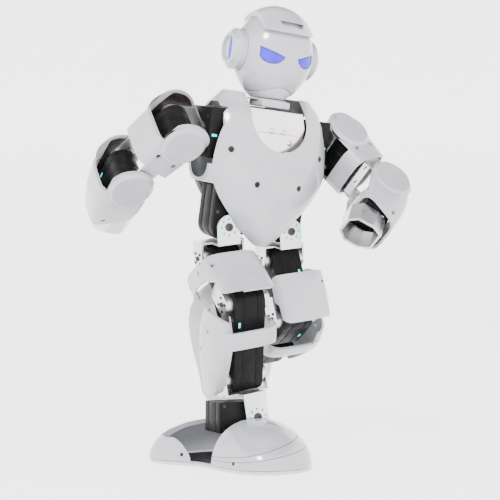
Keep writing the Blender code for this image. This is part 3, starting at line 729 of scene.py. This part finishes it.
def make_arm(side, s):
    shoulder, upper, fore = (side + "_" + n for n in ("shoulder", "upper_arm", "forearm"))
    plate = box((-18.5, -ARM_OUT, -10), (-17, ARM_OUT, 10))
    tip = arc((0, 0), HORN_R, -90, 90) + [(-17.8, HORN_R), (-17.8, -HORN_R)]
    arms = [("UNION", prism(tip, "Y", *sorted((out * ARM_IN, out * ARM_OUT)))) for out in (-1, 1)]
    piece(side + "_shoulder_sheet", carved(plate, *arms), shoulder, "silver_metal", s,
          node=side + "_shoulder_bracket", round_edges=0.25)
    piece(side + "_shoulder_screws", arm_screws("Y", 0), shoulder, "screw_steel", s)
    servo(side + "_shoulder_roll_servo", upper, "Y", "-Z", s, length=30)
    servo(side + "_elbow_servo", fore, "Y", "-Z", s, length=30)
    piece(side + "_upper_arm_shell", arm_shell(-32, -35, 21, -6, -17, (19, 22)), upper, "white_shell", s,
          node=side + "_upper_arm_cover")
    piece(side + "_forearm_shell", arm_shell(-50, -27, 20, -6, -25, (14, 17)), fore, "white_shell", s,
          node=side + "_forearm_cover")
    # Dark sheets inside the arm shells: painted shade on the shells' shadowed inner faces.
    piece(side + "_upper_arm_painted_shade", painted_shade_lining(21, -16), upper, "painted_shade_gloss", s)
    piece(side + "_forearm_painted_shade", painted_shade_lining(20, -24), fore, "painted_shade_gloss", s)
    piece(side + "_elbow_sheet", yoke("Y", -30.4, -UPPER_ARM), upper, "silver_metal", s,
          node=side + "_elbow_bracket", round_edges=0.25)
    piece(side + "_elbow_screws", arm_screws("Y", -UPPER_ARM), upper, "screw_steel", s)
    make_hand(side, s)


# ---------------------------------------------------------------- legs
def make_leg(side, s):
    hip, thigh, shin, ankle, foot = (side + "_" + n for n in ("hip", "thigh", "shin", "ankle", "foot"))
    for name, body, pivot, edge in (("hip", hip, -HIP_DROP, -HIP_DROP + 13.9), ("ankle", ankle, 0, -13.9)):
        sheet, roll = horn_plate(pivot, edge)
        piece(f"{side}_{name}_sheet", sheet, body, "silver_metal", s, node=f"{side}_{name}_bracket",
              round_edges=0.2)
        heads = [arm_screws("X", pivot), screw("Y", (0, 0, roll), -ARM_OUT, -1, 3.4, 0.8)]
        piece(f"{side}_{name}_screws", merged(*heads), body, "screw_steel", s)
        # A crescent of painted glow round the roll horn on the bracket's face: servo light painted on as an
        # emissive patch.
        painted_glow_arc = arc((0, roll), 9.0, -40, 80) + arc((0, roll), 8.0, 80, -40)
        piece(f"{side}_{name}_glow", prism(painted_glow_arc, "Y", -ARM_OUT - 0.15, -ARM_OUT + 0.1), body,
              "cyan_light", s)
    servo(side + "_hip_pitch_servo", thigh, "X", "-Z", s)
    servo(side + "_knee_servo", shin, "X", "-Z", s, length=27)
    servo(side + "_ankle_pitch_servo", shin, "X", "+Z", s, centre=(0, 0, -SHIN), length=30)
    servo(side + "_ankle_roll_servo", foot, "Y", "+X", s, length=31)
    piece(side + "_thigh_sheet", yoke("X", -32.4, -THIGH), thigh, "silver_metal", s,
          node=side + "_thigh_bracket", round_edges=0.25)
    piece(side + "_thigh_screws", arm_screws("X", -THIGH), thigh, "screw_steel", s)
    piece(side + "_thigh_shell", thigh_shell(), thigh, "white_shell", s, node=side + "_thigh_cover")
    piece(side + "_shin_shell", shin_shell(), shin, "white_shell", s, node=side + "_shin_cover")


def thigh_shell():
    stations = ((-58, 25.6, 21, 3, -3), (-36, 27.0, 25.5, 3.4, 1), (-10, 26.8, 24, 3.4, 1))
    below = [(40, -70), (40, -25), (4, -26), (-12, -34), (-19, -42), (-19, -70)]
    above = [(-40, 5), (-40, -17), (-14, -17), (8, -9.5), (40, -9.5), (40, 5)]
    rounds = [corner("Y", (-22.6, -15.5), 9, (-1, 1), -40, -8),
              corner("Y", (29.5, -15.5), 6, (1, 1), -40, -14),
              corner("Y", (-22.6, -58), 12, (-1, -1), -40, -8),
              corner("Y", (28.6, -58), 10, (1, -1), -40, -14),
              corner("X", (-19, -58), 7, (1, -1), 10, 40), corner("X", (26.5, -25.2), 7, (1, -1), 10, 40)]
    holes = [cylinder("X", (0, y, z), 1.6, 10, 40, 24) for y, z in ((-8, -22), (14, -18))]
    holes.append(cylinder("Y", (23.5, 0, -27), 1.6, -40, -10, 24))
    return cut(sleeve(stations, 4.0), prism(below, "X", -40, 40), prism(above, "X", -40, 40),
               box((-40, -16, -80), (20.6, 40, 20)), *rounds, *holes)


def shin_shell():
    stations = ((-76, 25.6, 11, 4, 2), (-50, 28.2, 18, 4.6, 0), (-24, 28.8, 21, 5.0, -2),
                (-4, 27.0, 17, 4, -1))
    rounds = [corner("X", (-10, -76), 11, (-1, -1), 15, 40), corner("X", (13.5, -76), 11, (1, -1), 15, 40),
              corner("X", (-19, -4), 12, (-1, 1), 21, 40), corner("X", (17, -4), 12, (1, 1), 15, 40)]
    holes = [cylinder("X", (0, y, z), 1.6, 20, 40, 24) for y, z in ((-4, -19), (8, -38))]
    return cut(sleeve(stations, 4.0), box((-40, 5, -80), (22.0, 40, 20)),
               box((-40, -40, -17), (20.6, 40, 20)), box((-40, -40, -80), (20.8, 40, -31)), *rounds, *holes)


# ---------------------------------------------------------------- feet
FOOT_MIDDLE = Vector((2, 4))


def foot_outline(grow=0.0):
    """The sole of a left foot: straight inside, round toe, and a flare at the outer heel."""
    points = [(-33 - grow, -36), (-29, -54 - grow), (-16, -67 - grow), (2, -71 - grow), (19, -68 - grow),
              (32 + grow, -57 - grow), (39 + grow, -40), (46 + grow, -6), (67 + grow, 28), (67 + grow, 44),
              (62, 49 + grow), (-28, 49 + grow), (-33 - grow, 44)]
    return spline(points, 6)


def foot_dome(inset, lift, rows=20):
    """The foot's domed upper; inset and lift shape the hollow inside it."""
    rings = []
    base = -ANKLE_HEIGHT + 3.3
    for k in range(rows + 1):
        angle = math.radians(84 * k / rows)
        keep = math.cos(angle) ** 0.85 * (1 - inset)
        z = base + 35.5 * math.sin(angle) - lift
        rings.append([(FOOT_MIDDLE.x + (x - FOOT_MIDDLE.x) * keep,
                       FOOT_MIDDLE.y + (y - FOOT_MIDDLE.y) * keep, z)
                      for x, y in foot_outline()])
    return loft(rings)


def foot_seams():
    """Two shallow grooves that sweep round the toe and rise to the inner side."""
    grooves = []
    for height, tilt in ((-24.0, 9.0), (-17.5, 14.0)):
        slab = box((-90, -90, -0.2), (90, -18, 0.2))
        turn = Matrix.Translation((0, 0, height)) @ Matrix.Rotation(math.radians(tilt), 4, "Y")
        bmesh.ops.transform(slab, matrix=turn, verts=slab.verts)
        grooves.append(cut(slab, foot_dome(0.012, 0.4)))
    return grooves


def make_foot(side, s):
    foot = side + "_foot"
    base = -ANKLE_HEIGHT
    piece(side + "_sole_pad", prism(foot_outline(-1.0), "Z", base, base + 3), foot, "grey_shell", s,
          node=side + "_foot_sole", round_edges=0.6)
    well = [(-25, -22), (43, -22), (46, -8), (60, 26), (60, 41), (-25, 41)]
    holes = [cylinder("Z", (x, -38, 0), 1.6, -60, -30, 20) for x in (-20, 20)]
    shell = cut(foot_dome(0, 0), foot_dome(0.06, 2.4), prism(well, "Z", -34, 30), *holes, *foot_seams())
    piece(side + "_foot_shell", shell, foot, "white_shell", s, node=side + "_foot_cover")
    floor = cut(prism([(x * 0.9, y) for x, y in well], "Z", base + 3.3, base + 4.6),
                cylinder("Z", (10, 20, 0), 2.0, -60, 0, 24))
    piece(side + "_foot_well", floor, foot, "dark_hole", s)
    # Dark dots on the shell where its small holes are: painted shade standing in for the holes' shadowed
    # insides.
    hole_shades = []
    for x, y, z, radius in ((53.6, 8, -29.5, 1.7), (58.2, 15.5, -29.5, 1.3), (34.5, -47, -31, 2.3)):
        dot = bmesh.new()
        bmesh.ops.create_uvsphere(dot, u_segments=20, v_segments=12, radius=radius)
        bmesh.ops.translate(dot, vec=(x, y, z), verts=dot.verts)
        hole_shades.append(dot)
    piece(side + "_foot_hole_shade", merged(*hole_shades), foot, "dark_hole", s)


# ---------------------------------------------------------------- the CAD pieces that stay
def repaint():
    for node, mat in (("torso_frame", "screw_steel"), ("battery_pack", "black_plastic"),
                      ("control_board", "board_green"), ("speaker", "black_plastic")):
        frame["nodes"][node].material_slots[0].material = MATERIALS[mat]


# ---------------------------------------------------------------- stage, lights and camera
def make_stage():
    """A pale floor that curves up all round, far from the robot."""
    profile = [(0.05, 0.0), (1.8, 0.0)] + [(1.8 + x, 0.8 + z) for x, z in arc((0, 0), 0.8, -90, 0, 16)][1:]
    profile.append((2.6, 2.6))
    bm = bmesh.new()
    sides = 96
    rows = [[bm.verts.new((r * math.cos(2 * math.pi * i / sides), r * math.sin(2 * math.pi * i / sides), z))
             for i in range(sides)] for r, z in profile]
    for low, high in zip(rows, rows[1:]):
        for i in range(sides):
            j = (i + 1) % sides
            bm.faces.new((low[i], high[i], high[j], low[j]))
    bm.faces.new(rows[0])
    bmesh.ops.recalc_face_normals(bm, faces=bm.faces)
    bmesh.ops.reverse_faces(bm, faces=bm.faces)
    floor = new_object("studio_floor", bm)
    floor.data.shade_smooth()
    paper = surface("studio_white", ((0.62, 0.62, 0.62), (0.64, 0.64, 0.64)), (0.5, 0.6), bump=0.0, edge=0.0,
                    patch=3.0, specular=0.1)
    shader = paper.node_tree.nodes["Principled BSDF"]
    shader.inputs["Emission Color"].default_value = (1, 1, 1, 1)
    shader.inputs["Emission Strength"].default_value = 2.2
    floor.data.materials.append(paper)


def area_light(name, place, aim, size, power):
    light = bpy.data.lights.new(name, "AREA")
    light.shape = "DISK"
    light.size = size
    light.energy = power
    obj = bpy.data.objects.new(name, light)
    obj.location = place
    obj.rotation_euler = (Vector(aim) - Vector(place)).to_track_quat("-Z", "Y").to_euler()
    bpy.context.scene.collection.objects.link(obj)


def make_lights():
    middle = (0, 0, 0.18)
    area_light("key_light", (-1.0, -1.2, 1.3), middle, 0.4, 44)
    area_light("fill_light", (1.2, -0.9, 0.7), middle, 1.0, 1.0)
    area_light("back_light", (0.5, 1.3, 1.2), middle, 1.0, 4)
    area_light("top_light", (0, 0, 1.7), middle, 1.0, 4)
    world = bpy.data.worlds.new("studio")
    world.use_nodes = True
    world.node_tree.nodes["Background"].inputs["Color"].default_value = (1, 1, 1, 1)
    world.node_tree.nodes["Background"].inputs["Strength"].default_value = 0.06
    bpy.context.scene.world = world


def make_camera():
    """A long lens in front of the robot's right side, a little below its chest."""
    azimuth, elevation = math.radians(-27.7), math.radians(-4.27)
    distance = 0.7178
    target = Vector((-0.0318, -0.0942, 0.1675))
    back = Vector((math.sin(azimuth) * math.cos(elevation), -math.cos(azimuth) * math.cos(elevation),
                   math.sin(elevation)))
    camera = bpy.data.cameras.new("camera")
    camera.lens = 68.67
    camera.sensor_width = 36.0
    camera.clip_start = 0.01
    obj = bpy.data.objects.new("camera", camera)
    obj.location = target + back * distance
    obj.rotation_euler = (-back).to_track_quat("-Z", "Y").to_euler()
    bpy.context.scene.collection.objects.link(obj)
    bpy.context.scene.camera = obj


make_camera()
make_stage()
make_lights()
make_torso()
make_torso_servos()
make_head()
for SIDE, SIGN in SIDES.items():
    make_arm(SIDE, SIGN)
    make_leg(SIDE, SIGN)
    make_foot(SIDE, SIGN)
repaint()
